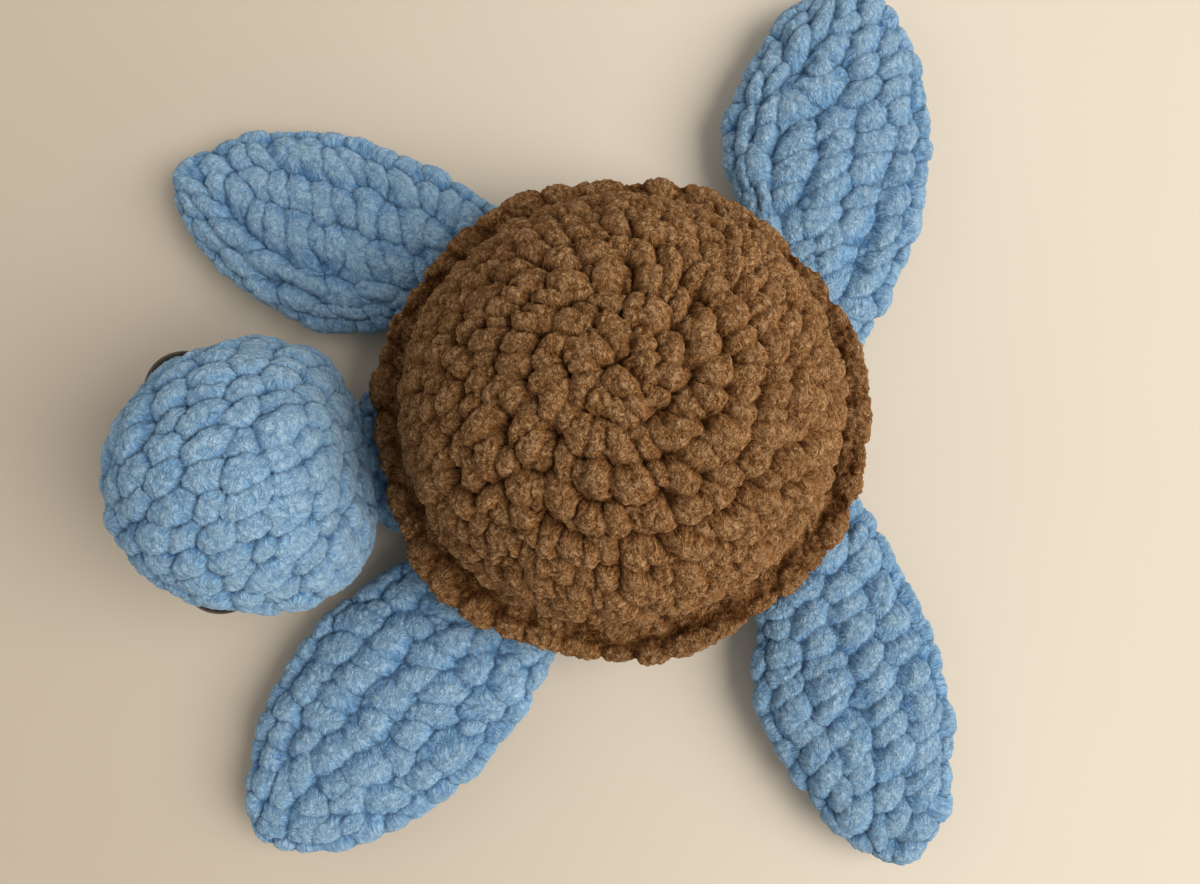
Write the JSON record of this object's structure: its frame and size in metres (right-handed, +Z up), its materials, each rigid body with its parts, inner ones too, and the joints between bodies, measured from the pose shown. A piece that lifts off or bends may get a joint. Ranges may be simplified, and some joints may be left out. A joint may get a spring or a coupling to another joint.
{
  "type": "plush turtle",
  "caption": "Crocheted plush sea turtle with a domed brown shell, a standing brim, a round blue head with glossy side eyes and leaf-shaped hinged flippers.",
  "frame": {"origin": "centre of the flat of the belly, on the surface that the turtle rests on, under the middle of the shell", "axes": "+Z up; the turtle faces -Y, its right side is -X and its left side is +X"},
  "size_m": [0.2453, 0.2311, 0.0896],
  "materials": {
    "brown_crochet": "chenille crochet, brown",
    "blue_crochet": "chenille crochet, light blue",
    "filling": "loose polyester filling",
    "eye": "glossy black",
    "washer": "plain white"
  },
  "bodies": {
    "body": {"shell_cover": "brown_crochet", "shell_brim": "brown_crochet", "belly_cover": "blue_crochet", "body_stuffing": "filling"},
    "neck": {"neck": "blue_crochet"},
    "head": {"head_cover": "blue_crochet", "head_stuffing": "filling", "right_eye": "eye", "left_eye": "eye", "right_eye_washer": "washer", "left_eye_washer": "washer"},
    "front_right_flipper": {"front_right_flipper": "blue_crochet", "front_right_flipper_wad": "filling"},
    "front_left_flipper": {"front_left_flipper": "blue_crochet", "front_left_flipper_wad": "filling"},
    "rear_right_flipper": {"rear_right_flipper": "blue_crochet", "rear_right_flipper_wad": "filling"},
    "rear_left_flipper": {"rear_left_flipper": "blue_crochet", "rear_left_flipper_wad": "filling"}
  },
  "joints": [
    {"name": "neck_swing", "type": "hinge", "parent": "body", "child": "neck", "pos_m": [0, -0.0644, 0.0112], "axis": [0, 0, 1], "range_deg": [-10, 10], "stiffness_Nm_per_rad": 0.1},
    {"name": "head_nod", "type": "hinge", "parent": "neck", "child": "head", "pos_m": [0, -0.0644, 0.0112], "axis": [-1, 0, 0], "range_deg": [-20, 4], "stiffness_Nm_per_rad": 0.15},
    {"name": "front_right_flap", "type": "hinge", "parent": "body", "child": "front_right_flipper", "pos_m": [-0.04627, -0.03477, 0.01081], "axis": [-0.5722, 0.8201, 0], "range_deg": [-35, 20], "stiffness_Nm_per_rad": 0.05},
    {"name": "front_left_flap", "type": "hinge", "parent": "body", "child": "front_left_flipper", "pos_m": [0.04117, -0.04111, 0.01081], "axis": [-0.68, -0.7333, 0], "range_deg": [-35, 20], "stiffness_Nm_per_rad": 0.05},
    {"name": "rear_right_flap", "type": "hinge", "parent": "body", "child": "rear_right_flipper", "pos_m": [-0.02239, 0.05454, 0.01081], "axis": [0.9146, 0.4043, 0], "range_deg": [-35, 20], "stiffness_Nm_per_rad": 0.05},
    {"name": "rear_left_flap", "type": "hinge", "parent": "body", "child": "rear_left_flipper", "pos_m": [0.03976, 0.04257, 0.01081], "axis": [0.7051, -0.7091, 0], "range_deg": [-35, 20], "stiffness_Nm_per_rad": 0.05}
  ]
}
